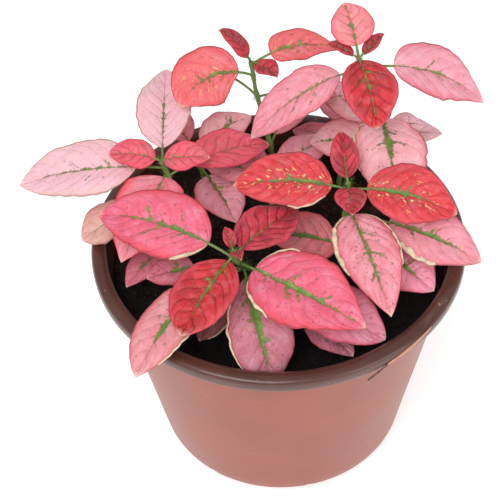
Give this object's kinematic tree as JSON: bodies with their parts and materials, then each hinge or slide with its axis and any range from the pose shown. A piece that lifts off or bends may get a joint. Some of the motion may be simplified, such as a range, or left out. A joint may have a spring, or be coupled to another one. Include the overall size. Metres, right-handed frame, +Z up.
{
  "type": "potted polka dot plant",
  "caption": "Pink polka dot plant with broad opposite leaves on thin green stems, standing in dark potting mix in a round tapered plastic nursery pot.",
  "frame": {"origin": "centre of the pot's base, on the surface that it stands on", "axes": "+Z up along the pot's axis; the side that the picture shows faces -Y, and +X is to the right in the picture"},
  "size_m": [0.1492, 0.129, 0.1465],
  "materials": {
    "pot": "thin formed plastic, terracotta outside and dark brown on the rim and inside, with a soft sheen",
    "potting_mix": "moist, near black and crumbly",
    "foliage": "pink to red living leaves with green veins and flecks, thin and softly satin"
  },
  "bodies": {
    "root": {"pot": "pot", "potting_mix": "potting_mix", "stem_left": "foliage", "stem_back": "foliage", "stem_back_right": "foliage", "stem_right": "foliage", "stem_front": "foliage", "stem_middle": "foliage", "stem_back_left": "foliage", "stem_far_back": "foliage"}
  },
  "joints": []
}
